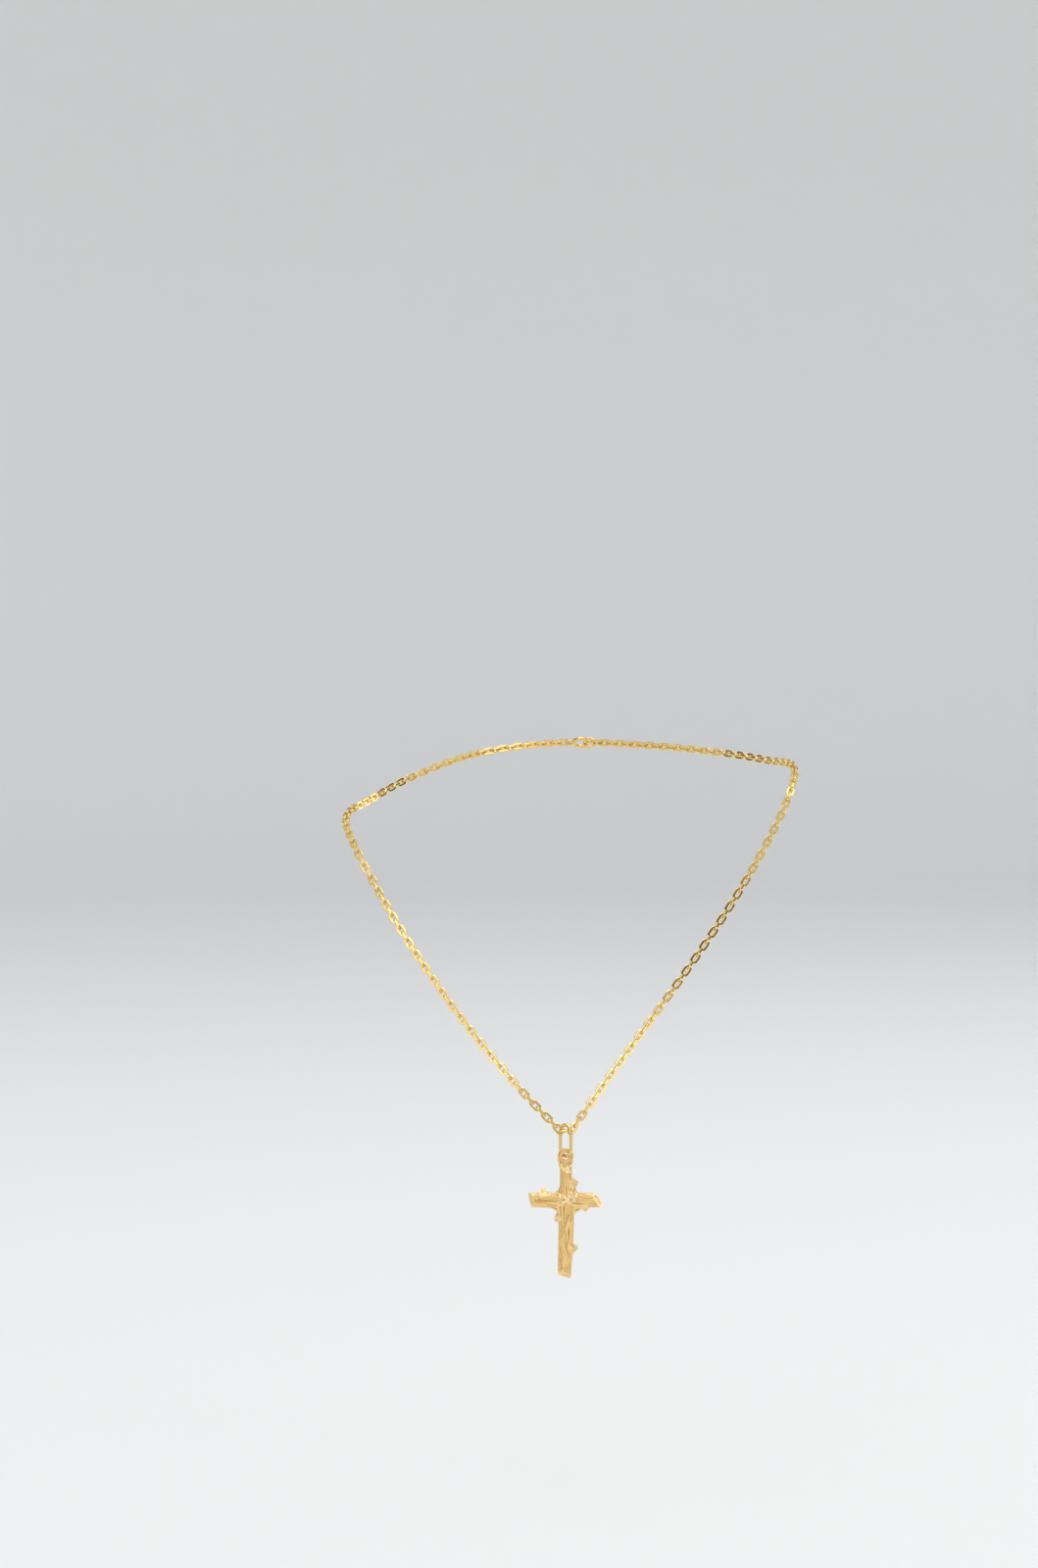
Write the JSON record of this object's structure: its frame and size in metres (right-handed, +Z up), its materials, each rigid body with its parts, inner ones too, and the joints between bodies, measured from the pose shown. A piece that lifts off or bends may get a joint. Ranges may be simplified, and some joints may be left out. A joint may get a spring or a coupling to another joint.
{
  "type": "cross necklace",
  "caption": "Gold trace chain necklace in its worn form, with a cast log cross hanging free from an oval ring at the front.",
  "frame": {"origin": "middle of the neck opening at the height of the shoulders, where the neck carries the chain", "axes": "+Z up along the neck, -Y to the front where the cross hangs, +X to the right as seen from the front"},
  "size_m": [0.1353, 0.1174, 0.1493],
  "materials": {
    "chain_gold": "polished, deep yellow gold",
    "ring_gold": "polished yellow gold",
    "cross_gold": "satin cast yellow gold"
  },
  "bodies": {
    "chain": {"chain_right": "chain_gold", "chain_left": "chain_gold", "clasp_ring": "chain_gold"},
    "bail": {"bail_ring": "ring_gold"},
    "cross": {"cross_pendant": "cross_gold"}
  },
  "joints": [
    {"name": "bail_swing", "type": "hinge", "parent": "chain", "child": "bail", "pos_m": [0, -0.048, -0.09335], "axis": [0.788, 0.6157, 0], "range_deg": [-60, 60]},
    {"name": "cross_swing", "type": "hinge", "parent": "bail", "child": "cross", "pos_m": [0, -0.048, -0.09996], "axis": [0, 1, 0], "range_deg": [-60, 60]}
  ]
}
